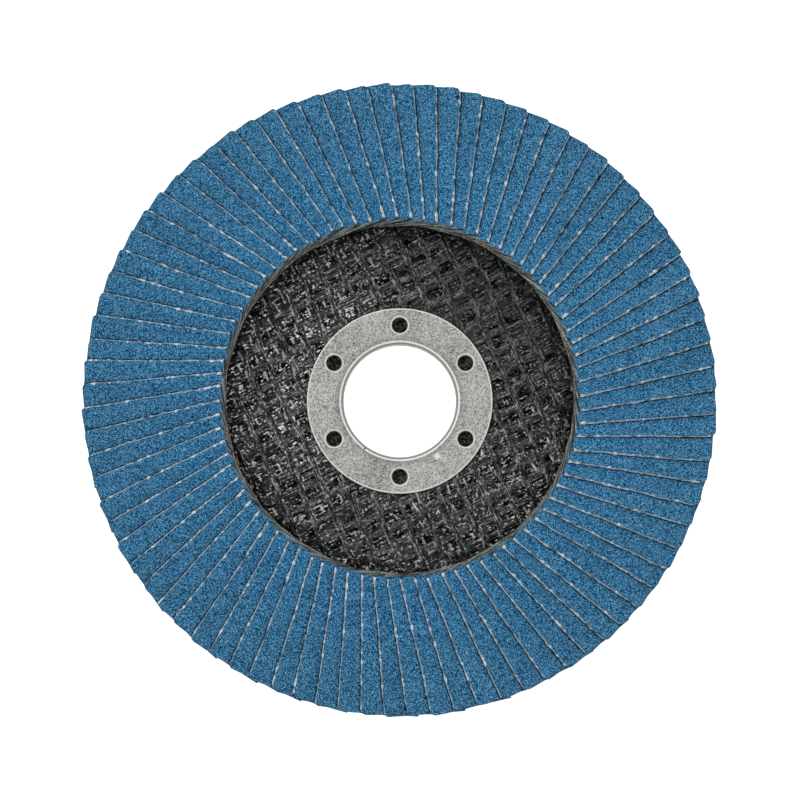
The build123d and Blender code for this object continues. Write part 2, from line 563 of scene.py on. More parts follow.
@dataclass(frozen=True)
class BlueGrit:
    """Blue abrasive grain in a matt resin coat, with frayed cream yarn along the free edge.

    The coat stops short of the hub end, where soaked grey and brown yarn shows. Sizes of patterns are metres;
    distances from edges, and the radii and places of marks, are millimetres.
    """

    grain_size: float = 0.00012
    fine_grain: float = 0.6
    fine_share: float = 0.3
    stops: tuple[float, ...] = (0.19, 0.42, 0.56, 0.84)
    cloud_size: float = 0.006
    rag_size: float = 0.0007
    rag_depth: float = 0.22
    streak_size: float = 0.00026
    coat_radius: float = 34.94
    coat_fade: float = 0.35
    crease_shade_fade: Pair = (0.18, 0.46)
    knot_width: float = 0.18
    stains: tuple[Pair, ...] = ((11.4, 59.5), (-12.2, 51.9))
    stain_size: float = 0.6
    relief: float = 0.00007
    gloss: float = 0.03
    shadow: Colour = paint(1, 34, 70)
    low: Colour = paint(16, 81, 123)
    body: Colour = paint(27, 99, 142)
    glint: Colour = paint(130, 202, 245)
    near_hub: Colour = (0.96, 1.02, 1.05)
    near_rim: Colour = (1.02, 0.97, 0.96)
    # Painted shade in the crease under the free edge of the flap above.
    crease: Colour = paint(8, 12, 16)
    fray: Colour = paint(190, 224, 238)
    knot: Colour = paint(255, 252, 244)
    soaked: Colour = paint(54, 64, 68)
    soaked_light: Colour = paint(160, 172, 172)
    margin: Colour = paint(96, 90, 78)
    stain: Colour = paint(34, 28, 30)

    def build(self, effects: Effects) -> Material:
        """Makes the finish.

        Args:
            effects: Shared shader effects.

        Returns:
            The material.
        """
        graph = Surface("blue_grit", effects)
        grain, grain_height = graph.grains(self.grain_size)
        fine, fine_height = graph.grains(self.grain_size * self.fine_grain)
        blend = graph.plus(graph.times(grain, 1 - self.fine_share), graph.times(fine, self.fine_share))
        stops = zip(self.stops, (self.shadow, self.low, self.body, self.glint))
        colour = graph.ramp(blend, tuple(stops))
        tint = graph.mix(graph.span(graph.radius, 0.034, 0.058), self.near_hub, self.near_rim)
        colour = graph.mix(1.0, colour, tint, "MULTIPLY")
        flap_tone = graph.attribute("tone")
        tone = graph.plus(flap_tone, graph.patches(self.cloud_size))
        colour = graph.tinted(colour, graph.span(tone, 0.0, 2.0, 0.93, 1.07))
        rag = graph.times(graph.patches(self.rag_size), self.rag_depth)
        outer = graph.span(graph.plus(graph.attribute("from_outer_end"), rag), 0.05, 0.22, 0.5, 0.0)
        colour = graph.mix(outer, colour, self.margin)
        along_streak = graph.times(graph.attribute("across"), MM)
        across_streak = graph.times(graph.attribute("from_inner_end"), MM)
        on_flap = graph.node("CombineXYZ", {0: along_streak, 1: across_streak, 2: flap_tone}).outputs[0]
        soaked = graph.mix(graph.filaments(on_flap, self.streak_size), self.soaked, self.soaked_light)
        coat = graph.plus(graph.math("DIVIDE", graph.radius, MM), graph.times(rag, 1.6))
        uncoated = graph.span(coat, self.coat_radius, self.coat_radius + self.coat_fade, 1.0, 0.0)
        colour = graph.mix(uncoated, colour, soaked)
        # Painted shade: near black along the crease beside the free edge of the flap above, weaker where the
        # coat is missing.
        nearness = graph.minus(graph.attribute("crease"), graph.times(rag, 0.7))
        dark = graph.times(graph.span(nearness, *self.crease_shade_fade, 1.0, 0.0),
                           graph.span(uncoated, 0.0, 1.0, 1.0, 0.5))
        colour = graph.mix(dark, colour, self.crease)
        knot = graph.attribute("knot")
        width = graph.plus(graph.times(rag, 0.5), graph.times(knot, self.knot_width))
        yarn = graph.span(graph.minus(width, graph.attribute("from_free_edge")), 0.02, 0.1)
        colour = graph.mix(yarn, colour, graph.mix(knot, self.fray, self.knot))
        ragged = graph.span(rag, 0.0, 0.12, 0.4, 1.0)
        for middle in self.stains:
            colour = graph.mix(graph.times(graph.spot(middle, self.stain_size), ragged), colour, self.stain)
        height = graph.plus(grain_height, graph.times(fine_height, 0.5))
        roughness = graph.span(blend, 0.2, 1.0, 0.85, 0.6)
        return graph.finish(colour, roughness, graph.bump(height, self.relief, 0.7), self.gloss)


@dataclass(frozen=True)
class CutCloth:
    """Cut edge of the abrasive cloth: cream yarn ends between a dark grit line and a dark glued back, partly
    painted shade.
    """

    patch_size: float = 0.0016
    speck_size: float = 0.00028
    relief: float = 0.00008
    gloss: float = 0.2
    yarn: Colour = paint(206, 222, 230)
    knot: Colour = paint(255, 252, 244)
    worn: Colour = paint(84, 96, 102)
    grit: Colour = paint(44, 74, 94)
    # Dark glued back, partly its own colour and partly painted shade under the free edge.
    back: Colour = paint(40, 36, 31)

    def build(self, effects: Effects) -> Material:
        """Makes the finish.

        Args:
            effects: Shared shader effects.

        Returns:
            The material.
        """
        graph = Surface("cut_cloth_edge", effects)
        depth = graph.attribute("depth")
        speck, height = graph.grains(self.speck_size)
        yarn = graph.mix(graph.span(graph.patches(self.patch_size), 0.0, 0.55), self.worn, self.yarn)
        yarn = graph.mix(graph.times(speck, 0.35), yarn, self.worn)
        yarn = graph.mix(graph.attribute("knot"), yarn, self.knot)
        colour = graph.mix(graph.span(depth, 0.08, 0.2), self.grit, yarn)
        # Painted shade towards the back of the cut edge, over the dark glued cloth.
        colour = graph.mix(graph.span(depth, 0.86, 1.0), colour, self.back)
        return graph.finish(colour, 0.9, graph.bump(height, self.relief, 0.7), self.gloss)


@dataclass(frozen=True)
class ClothEnd:
    """Chopped ends of the flaps: olive and brown streaks of resin-soaked yarn."""

    patch_size: float = 0.0009
    speck_size: float = 0.00025
    relief: float = 0.00008
    gloss: float = 0.25
    streak: Colour = paint(156, 154, 142)
    dark: Colour = paint(52, 50, 44)
    fleck: Colour = paint(232, 226, 210)

    def build(self, effects: Effects) -> Material:
        """Makes the finish.

        Args:
            effects: Shared shader effects.

        Returns:
            The material.
        """
        graph = Surface("cut_cloth_end", effects)
        speck, height = graph.grains(self.speck_size)
        colour = graph.mix(graph.patches(self.patch_size), self.dark, self.streak)
        colour = graph.mix(graph.span(speck, 0.72, 0.88), colour, self.fleck)
        # Darker towards the back: the glued cloth's own colour and painted shade at the foot of the end.
        colour = graph.mix(graph.span(graph.attribute("depth"), 0.85, 1.0), colour, self.dark)
        return graph.finish(colour, 0.85, graph.bump(height, self.relief, 0.7), self.gloss)


@dataclass(frozen=True)
class ClothBack:
    """Woven back of the flaps, soaked in a yellowish brown size."""

    pitch: float = 0.00055
    cloud_size: float = 0.004
    relief: float = 0.00012
    yarn: Colour = paint(170, 146, 104)
    gap: Colour = paint(104, 84, 56)
    stain: Colour = paint(128, 104, 70)

    def build(self, effects: Effects) -> Material:
        """Makes the finish.

        Args:
            effects: Shared shader effects.

        Returns:
            The material.
        """
        graph = Surface("cloth_back", effects)
        turn = 2 * math.pi * MM / self.pitch
        waves = [graph.math("SINE", graph.times(graph.attribute(name), turn)) for name in ("along", "across")]
        height = graph.span(graph.times(*waves), -1.0, 1.0)
        colour = graph.mix(height, self.gap, self.yarn)
        colour = graph.mix(graph.times(graph.patches(self.cloud_size), 0.6), colour, self.stain)
        return graph.finish(colour, 0.8, graph.bump(height, self.relief, 0.8))


@dataclass(frozen=True)
class BlackMeshResin:
    """Glass yarns under a thin coat of black phenolic resin, with painted highlights and painted shade.

    Sizes and radii are metres, and the directions of the yarns are degrees. A shadow fades between its radii.
    """

    warp_angle: float = -66.5
    weft_angle: float = 26.0
    filament: float = 0.0003
    crumb_size: float = 0.00026
    loop_scale: float = 1100.0
    pool_size: float = 0.0014
    spark_size: float = 0.0006
    wall_shadow: Pair = (0.0298, 0.0338)
    ring_shadow: Pair = (0.0184, 0.0189)
    relief: float = 0.0001
    gloss: float = 0.01
    # Near black of the painted shade in the windows; the resin there is black too.
    hollow: Colour = paint(3, 3, 4)
    resin: Colour = paint(50, 52, 52)
    yarn: Colour = paint(162, 166, 165)
    # Near white of the painted highlights.
    painted_highlight: Colour = paint(250, 251, 252)

    def build(self, effects: Effects) -> Material:
        """Makes the finish.

        Args:
            effects: Shared shader effects.

        Returns:
            The material.
        """
        graph = Surface("black_mesh_resin", effects)
        warp, raised, sheen = (graph.attribute(name) for name in ("warp", "raised", "sheen"))
        warp_lines = graph.filaments(graph.turned_place(self.warp_angle), self.filament)
        weft_lines = graph.filaments(graph.turned_place(self.weft_angle), self.filament)
        lines = graph.plus(graph.times(warp_lines, warp), graph.times(weft_lines, graph.minus(1.0, warp)))
        crumb, crumb_height = graph.grains(self.crumb_size)
        inputs = {"Vector": graph.place, "Scale": self.loop_scale, "Detail": 0.0}
        from_loop = graph.math("ABSOLUTE", graph.minus(graph.node("TexNoise", inputs).outputs[0], 0.5))
        loops = graph.span(from_loop, 0.0, 0.06, 1.0, 0.0)
        loops = graph.times(loops, graph.span(graph.patches(self.pool_size), 0.4, 0.8), sheen)
        # Painted shade: near black where the raised share is low, in the windows and along pits, grooves and
        # seams.
        colour = graph.mix(raised, self.hollow, self.resin)
        # Painted highlight: bright loops in the windows, strongest where the sheen is.
        colour = graph.mix(graph.times(loops, graph.minus(1.0, raised)), colour, self.yarn)
        share = graph.times(graph.math("POWER", lines, 2.0), graph.span(raised, 0.0, 1.0, 0.04, 0.24))
        colour = graph.mix(share, colour, self.yarn)
        sparks = graph.patches(self.spark_size)
        glints = graph.times(graph.span(lines, 0.4, 0.75), graph.span(sparks, 0.62, 0.8),
                             graph.span(raised, 0.6, 1.0, 1.0, 0.45), sheen)
        # Painted shade: near black in the crevices between filaments.
        crevice_shade = graph.times(graph.span(lines, 0.15, 0.5, 1.0, 0.0), graph.span(sparks, 0.1, 0.6, 1.0, 0.2),
                             graph.span(raised, 0.3, 0.9, 1.0, 0.4))
        swing = graph.span(raised, 0.2, 0.9, 0.98, 0.6)
        brightest = graph.math("MULTIPLY_ADD", swing, 1.7, 1.0)
        tone = graph.span(crumb, 0.15, 0.85, graph.minus(1.0, swing), brightest)
        shade = graph.times(graph.span(graph.radius, *self.wall_shadow, 1.0, 0.2),
                            graph.span(graph.radius, *self.ring_shadow, 0.3, 1.0))
        shade = graph.minus(1.0, graph.times(graph.minus(1.0, shade), graph.attribute("recess")))
        tone = graph.times(tone, shade, graph.span(crevice_shade, 0.0, 0.8, 1.0, 0.02))
        colour = graph.tinted(colour, tone)
        # Painted highlights: strokes on the strands, flanks, edges and ribs, and the glints, in near white.
        highlight_strokes = graph.times(graph.attribute("painted_highlight"), graph.span(lines, 0.2, 0.8, 0.6, 1.0))
        colour = graph.mix(graph.larger(highlight_strokes, glints), colour, self.painted_highlight)
        height = graph.plus(lines, graph.times(crumb_height, 0.35))
        roughness = graph.span(crumb, 0.0, 1.0, 0.5, 0.25)
        return graph.finish(colour, roughness, graph.bump(height, self.relief, 0.9), self.gloss)


@dataclass(frozen=True)
class ZincSteel:
    """Dull zinc plate on pressed steel: a fine grey mottle, with painted highlights along the rims and the
    bend.

    Sizes and radii are metres; the places and sizes of marks are millimetres.
    """

    fine_size: float = 0.00018
    patch_size: float = 0.0012
    wide_size: float = 0.007
    holes_circle: float = 0.015
    holes: int = 6
    hole_rim: Pair = (0.0016, 0.00188)
    outer_rim: Pair = (0.0181, 0.0184)
    bend: Pair = (0.01156, 0.01192)
    turn_in: Pair = (0.01136, 0.01148)
    scuff: Pair = (7.4, -10.9)
    scuff_size: float = 0.9
    nick_place: Pair = (-6.9, -9.4)
    nick_size: float = 0.3
    relief: float = 0.000015
    light: Colour = paint(198, 197, 192)
    dark: Colour = paint(92, 91, 88)
    # Near white of the painted rim highlights and of the scuff.
    highlight_and_scuff: Colour = paint(255, 255, 252)
    collar: Colour = paint(176, 175, 171)
    shaded: Colour = paint(120, 119, 115)
    nick: Colour = paint(40, 38, 36)

    def from_hole(self, graph: Graph) -> Socket:
        """Distance from the middle of the nearest hole.

        It is the third side of the triangle over the radius of the point and that of the circle of holes,
        with the angle folded into one sector.

        Args:
            graph: Graph of the material.

        Returns:
            The distance in metres.
        """
        parts = graph.node("SeparateXYZ", {0: graph.place}).outputs
        half_sector = math.pi / self.holes
        folded = graph.math("WRAP", graph.math("ARCTAN2", parts[0], parts[1]), half_sector, -half_sector)
        along = graph.minus(graph.times(graph.radius, graph.math("COSINE", folded)), self.holes_circle)
        across = graph.times(graph.radius, graph.math("SINE", folded))
        offset = graph.node("CombineXYZ", {0: along, 1: across}).outputs[0]
        return graph.node("VectorMath", {0: offset}, operation="LENGTH").outputs["Value"]

    def build(self, effects: Effects) -> Material:
        """Makes the finish.

        Args:
            effects: Shared shader effects.

        Returns:
            The material.
        """
        graph = Surface("zinc_steel", effects)
        fine, fine_height = graph.grains(self.fine_size)
        clouds, radius = graph.patches(self.patch_size), graph.radius
        share = graph.plus(graph.times(fine, 0.88), graph.times(clouds, 0.12))
        # Painted highlights along the hole rims, the outer rim and the bend, with less metal gloss there.
        rims = [graph.band(self.from_hole(graph), *self.hole_rim)]
        rims += [graph.band(radius, *edge) for edge in (self.outer_rim, self.bend)]
        rim_highlight = graph.times(graph.larger(*rims), graph.span(clouds, 0.0, 1.0, 0.85, 1.0))
        mottle = graph.span(graph.plus(share, graph.times(graph.patches(self.wide_size), 0.2)), 0.0, 1.2)
        mottle = graph.times(mottle, graph.span(radius, 0.0118, 0.0134, 0.55, 0.96))
        inside = graph.span(radius, self.bend[0] - graph.SOFT_EDGE, self.bend[0], 1.0, 0.0)
        colour = graph.mix(inside, graph.mix(mottle, self.dark, self.light), self.collar)
        colour = graph.mix(rim_highlight, colour, self.highlight_and_scuff)
        colour = graph.mix(graph.band(radius, *self.turn_in), colour, self.shaded)
        colour = graph.mix(graph.times(graph.spot(self.scuff, self.scuff_size), 0.42), colour, self.highlight_and_scuff)
        colour = graph.mix(graph.spot(self.nick_place, self.nick_size), colour, self.nick)
        normal = graph.bump(graph.plus(clouds, graph.times(fine_height, 0.4)), self.relief, 0.6)
        metallic = graph.span(graph.larger(rim_highlight, inside), 0.0, 1.0, 1.0, 0.15)
        return graph.finish(colour, graph.span(share, 0.0, 1.0, 0.5, 0.34), normal, metallic=metallic)


@dataclass(frozen=True)
class CuredAdhesive:
    """Dark amber epoxy with small bubbles."""

    cloud_size: float = 0.003
    bubble_size: float = 0.0008
    relief: float = 0.00005
    thick: Colour = paint(52, 38, 22)
    thin: Colour = paint(98, 74, 42)

    def build(self, effects: Effects) -> Material:
        """Makes the finish.

        Args:
            effects: Shared shader effects.

        Returns:
            The material.
        """
        graph = Surface("cured_adhesive", effects)
        bubble, height = graph.grains(self.bubble_size)
        colour = graph.mix(graph.patches(self.cloud_size), self.thick, self.thin)
        roughness = graph.span(bubble, 0.0, 1.0, 0.2, 0.45)
        return graph.finish(colour, roughness, graph.bump(height, self.relief, 0.5))


@dataclass(frozen=True)
class Finishes:
    """All materials of the object."""

    grit: Material
    edge: Material
    end: Material
    back: Material
    mesh: Material
    zinc: Material
    adhesive: Material

    @classmethod
    def build(cls) -> "Finishes":
        """Makes every finish from the shared effects.

        Returns:
            The finishes.
        """
        effects = Effects()
        makers = (BlueGrit, CutCloth, ClothEnd, ClothBack, BlackMeshResin, ZincSteel, CuredAdhesive)
        return cls(*[maker().build(effects) for maker in makers])


def mount(piece: bpy.types.Object, nodes: Sequence[str] = ()) -> None:
    """Fixes a piece to the body and hides the solids that it stands for.

    Args:
        piece: The piece.
        nodes: Solids that the piece replaces.
    """
    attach(piece, BODY)
    if nodes:
        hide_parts(*nodes)


@dataclass
class FlapFan:
    """Fan of overlapping flaps, each on its own sheet that winds upwards clockwise.

    The sheet of a flap is z = seat + slope * (asin(half width / r) - angle), with r and the angle taken about
    the arbor axis from the flap's middle line. Sheets of neighbours differ by a fixed height, so flaps may
    wander within their sheets without meeting. Nothing rises over the ceiling, the top of the solids.

    Offsets are distances from the free edge, and depths are shares of the thickness under the grit. The
    pairs are the least and the most of random sizes, but the drift's are its spread and its limit. The brow
    is where the grit rounds over the free edge. Far stands for a distance that a point doesn't have.
    """

    seat: float
    ceiling: float
    count: int = 84
    per_piece: int = 2
    length: float = 27.6
    width: float = 15.64
    radius: float = 62.5
    rim_room: float = 0.04
    thickness: float = 0.9
    clearance: float = 0.1
    first_angle: float = 4.05
    stations: int = 112
    crowding: float = 0.09
    drift: Pair = (0.12, 0.25)
    skew: float = 0.004
    inner_shift: Pair = (-0.42, -0.05)
    outer_shift: Pair = (0.0, 0.28)
    corner: Pair = (0.5, 1.1)
    noise_step: float = 13.7
    end_noise: Noise = ((2.2, 0.13, 3), (0.55, 0.05, 4))
    fray_noise: Noise = ((1.6, 0.14, 5), (0.4, 0.08, 6))
    edge_noise: Noise = ((4.5, 0.1, 7), (0.7, 0.045, 8))
    knots: int = 9
    knot_length: Pair = (0.12, 0.45)
    knot_height: Pair = (0.45, 1.0)
    threads: int = 10
    end_threads: int = 3
    thread_sides: int = 6
    thread_points: int = 5
    thread_reach: Pair = (0.25, 0.9)
    thread_bow: Pair = (0.05, 0.2)
    thread_radius: Pair = (0.035, 0.065)
    thread_depth: Pair = (0.25, 0.5)
    far: float = 3.0
    seed: int = 11
    grit_offsets: tuple[float, ...] = (15.64, 10.5, 6.2, 4.8, 3.6, 2.6, 1.8, 1.1, 0.6, 0.3, 0.12, 0.0)
    brow_depths: tuple[float, ...] = (0.02, 0.07)
    side_depths: tuple[float, ...] = (0.2, 0.42, 0.66, 0.88)
    back_offsets: tuple[float, ...] = (0.0, 1.0, 4.8, 9.5, 12.6, 14.4, 15.64)

    def __post_init__(self) -> None:
        """Works out the places that follow from the sizes."""
        self.half = self.width / 2
        self.outer_end = math.sqrt(self.radius ** 2 - self.half ** 2)
        self.inner_end = self.outer_end - self.length
        self.pitch = 2 * math.pi / self.count
        layer = self.thickness + self.clearance
        tightest = layer / (self.pitch * self.inner_end)
        self.slope = layer / (self.pitch * math.sqrt(1 - tightest ** 2))
        self.offsets = np.array(
            [*self.grit_offsets, *[0.0] * len(self.side_depths), *self.back_offsets, self.width])
        grit_depths = [*[0.0] * (len(self.grit_offsets) - len(self.brow_depths)), *self.brow_depths]
        self.depths = np.array([*grit_depths, *self.side_depths, *[1.0] * len(self.back_offsets), 0.5])
        share = np.linspace(0, 1, self.stations)
        self.shares = share - self.crowding * np.sin(2 * np.pi * share) / np.pi

    def lay(self, x: Array, y: Array, depth: Array, outward: Array) -> tuple[Array, Array, Array]:
        """Points of a flap: those of its sheet, raised along the normal and moved past the free edge.

        Args:
            x: First coordinate of each point, along the flap.
            y: Second coordinate of each point, across it.
            depth: Depth of each point.
            outward: Distance to move each point out, square to the normal and the length.

        Returns:
            The points, the upward normals and the outward directions.
        """
        r = np.hypot(x, y)
        z = self.seat + self.slope * (np.arcsin(self.half / r) - np.arctan2(y, x))
        radial = -self.slope * self.half / (r * np.sqrt(r * r - self.half ** 2))
        rise_x = radial * x / r + self.slope * y / r ** 2
        rise_y = radial * y / r - self.slope * x / r ** 2
        normal = np.stack([-rise_x, -rise_y, np.ones_like(r)], axis=-1)
        normal = normal / np.linalg.norm(normal, axis=-1, keepdims=True)
        away = np.stack([np.zeros_like(x), -normal[..., 2], normal[..., 1]], axis=-1)
        points = np.stack([x, y, z], axis=-1) + normal * (self.thickness * (1 - depth))[..., None]
        return points + away * outward[..., None], normal, away

    def plan(self, number: int, shares: Array, offsets: Array) -> tuple[Array, Array, Array, Array]:
        """Outline of a flap seen from above, with its ragged edges.

        The ends wander by noise along the width, the free outer corner is rounded by a quarter circle, and
        the free edge wanders by noise along the length, which fades towards the glued edge.

        Args:
            number: Number of the flap, clockwise.
            shares: Share of the length of each point.
            offsets: Offset of each point.

        Returns:
            Both coordinates, the distance from the inner end and the distance from the outer end.
        """
        rng = np.random.default_rng([self.seed, number % self.count])
        spread, limit = self.drift
        drift, skew = np.clip(rng.normal(0, spread), -limit, limit), rng.normal(0, self.skew)
        inner_shift, outer_shift = rng.uniform(*self.inner_shift), rng.uniform(*self.outer_shift)
        corner, row = rng.uniform(*self.corner), self.noise_step * (number % self.count)
        wander = noise_sum(offsets, row, self.end_noise)
        fray = noise_sum(offsets, row + 5, self.fray_noise)
        rounded = corner - np.sqrt(np.maximum(corner ** 2 - np.maximum(corner - offsets, 0) ** 2, 0))
        start = self.inner_end + inner_shift + fray + 0.3 * rounded
        end = self.outer_end - outer_shift - np.abs(wander) - rounded
        x = start + shares * (end - start)
        moved = drift + skew * (x - self.inner_end - self.length / 2) + noise_sum(x, row, self.edge_noise)
        y = offsets - self.half + moved * (1 - offsets / self.width)
        shrink = np.minimum(1, (self.radius - self.rim_room) / np.hypot(x, y))
        return x * shrink, y * shrink, x - start, end - x

    def crease(self, number: int, x: Array, y: Array) -> Array:
        """Distance of points on a flap from the free edge of the flap that lies on it.

        Args:
            number: Number of the flap.
            x: First coordinate of each point, along the flap.
            y: Second coordinate of each point, across it.

        Returns:
            Distance, negative under the upper flap.
        """
        edge_x, edge_y, _, _ = self.plan(number - 1, self.shares, np.zeros(self.stations))
        turned_x = x * math.cos(self.pitch) + y * math.sin(self.pitch)
        turned_y = y * math.cos(self.pitch) - x * math.sin(self.pitch)
        beyond = np.maximum(np.maximum(turned_x - edge_x[-1], edge_x[0] - turned_x), 0)
        across = np.interp(turned_x, edge_x, edge_y) - turned_y
        return np.where(beyond > 0, np.hypot(beyond, np.maximum(across, 0)), across)

    def knot_strength(self, number: int, x: Array) -> Array:
        """Bundles of frayed yarn along the free edge: a sum of bell curves, one of them at the inner end.

        Args:
            number: Number of the flap.
            x: Place of each point along the flap.

        Returns:
            Strength from 0 to 1.
        """
        rng = np.random.default_rng([self.seed + 1, number])
        places = rng.uniform(self.inner_end, self.outer_end, self.knots)
        lengths = rng.uniform(*self.knot_length, self.knots)
        heights = rng.uniform(*self.knot_height, self.knots)
        places[0], heights[0] = self.inner_end + rng.uniform(0.1, 0.6), 0.9
        return np.clip((heights * bell(x[..., None] - places, lengths)).sum(-1), 0, 1)

    def turned(self, number: int, points: Array) -> Array:
        """Points of a flap, kept under the ceiling and turned about the axis to its place in the fan.

        Args:
            number: Number of the flap.
            points: Points of the flap, its middle line along X.

        Returns:
            The turned points.
        """
        angle = math.pi / 2 - math.radians(self.first_angle) - number * self.pitch
        cosine, sine = math.cos(angle), math.sin(angle)
        x, y, z = (points[..., axis] for axis in range(3))
        return np.stack([x * cosine - y * sine, x * sine + y * cosine, np.minimum(z, self.ceiling)], axis=-1)

    def add_flap(self, draft: Draft, number: int) -> None:
        """Adds a flap: its closed section, carried along its length.

        The section runs over the grit, down the free edge, which swells by a half sine of the depth, and back
        under the cloth.

        Args:
            draft: Mesh that the flap goes into.
            number: Number of the flap.
        """
        offsets, shares = np.broadcast_arrays(self.offsets[None, :], self.shares[:, None])
        depths = np.broadcast_to(self.depths[None, :], offsets.shape)
        x, y, from_inner, from_outer = self.plan(number, shares, offsets)
        knot = self.knot_strength(number, x)
        columns = np.arange(len(self.offsets))
        first = len(self.grit_offsets)
        last = first + len(self.side_depths)
        side = np.where((columns >= first) & (columns < last), np.sin(np.pi * self.depths), 0)
        frayed = lattice_noise(x + 40 * depths, self.noise_step * number, 0.4, 9, 2)
        points, _, _ = self.lay(x, y, depths, side * (0.03 + 0.1 * frayed + 0.13 * knot))
        values = {
            "depth": depths,
            "knot": knot,
            # Distance from the free edge of the flap above, which places the painted crease shade.
            "crease": np.where(columns < first, self.crease(number, x, y), self.far),
            "from_free_edge": offsets,
            "from_inner_end": from_inner,
            "from_outer_end": from_outer,
            "along": x,
            "across": y,
            "tone": np.random.default_rng([self.seed + 2, number]).uniform(),
        }
        finish = np.select([columns < first - 1, columns < last, columns < len(columns) - 2], [0, 1, 3], 1)
        draft.add(self.turned(number, points), finish, values, cap_finish=2)

    def add_threads(self, draft: Draft, number: int) -> None:
        """Adds frayed threads: thin tapering tubes that bow out from the free edge and lie along it.

        Args:
            draft: Mesh that the threads go into.
            number: Number of the flap.
        """
        rng = np.random.default_rng([self.seed + 3, number])
        size = (self.threads, 1)
        at_end = rng.uniform(0.0, 0.06, (self.end_threads, 1))
        start = np.concatenate([at_end, rng.uniform(0.06, 0.95, (self.threads - self.end_threads, 1))])
        reach = rng.uniform(*self.thread_reach, size) * rng.choice([-1, 1], size)
        bow = rng.uniform(*self.thread_bow, size)
        thin = rng.uniform(*self.thread_radius, size)
        share = np.linspace(0, 1, self.thread_points)[None, :]
        lengthwise = np.clip(start + reach * share / self.length, 0.0, 1.0)
        x, y, _, _ = self.plan(number, lengthwise, np.zeros_like(lengthwise))
        depth = rng.uniform(*self.thread_depth, size) + 0.3 * share
        middle, normal, away = self.lay(x, y, depth, 0.03 + bow * np.sin(np.pi * share * 0.85))
        turn = np.linspace(0, -2 * np.pi, self.thread_sides, endpoint=False) * np.sign(reach)[..., None]
        taper = (thin * (1 - 0.6 * share))[..., None]
        rise, reach_out = (np.cos(turn) * taper)[..., None], (np.sin(turn) * taper)[..., None]
        rim = rise * normal[:, :, None] + reach_out * away[:, :, None]
        values = {name: self.far for name in draft.values} | {"depth": 0.5, "knot": 0.9}
        for tube in self.turned(number, middle[:, :, None] + rim):
            draft.add(tube, 1, values, cap_finish=1)

    def build(self, finishes: Finishes) -> None:
        """Builds each group of neighbours in the place of its solid.

        Args:
            finishes: Materials of the object.
        """
        cloth = (finishes.grit, finishes.edge, finishes.end, finishes.back)
        for first in range(0, self.count, self.per_piece):
            label = f"{first // self.per_piece + 1:02d}"
            draft = Draft()
            for number in range(first, first + self.per_piece):
                self.add_flap(draft, number)
                self.add_threads(draft, number)
            mount(draft.build(f"abrasive_flaps_{label}", cloth), [f"flap_pair_{label}"])


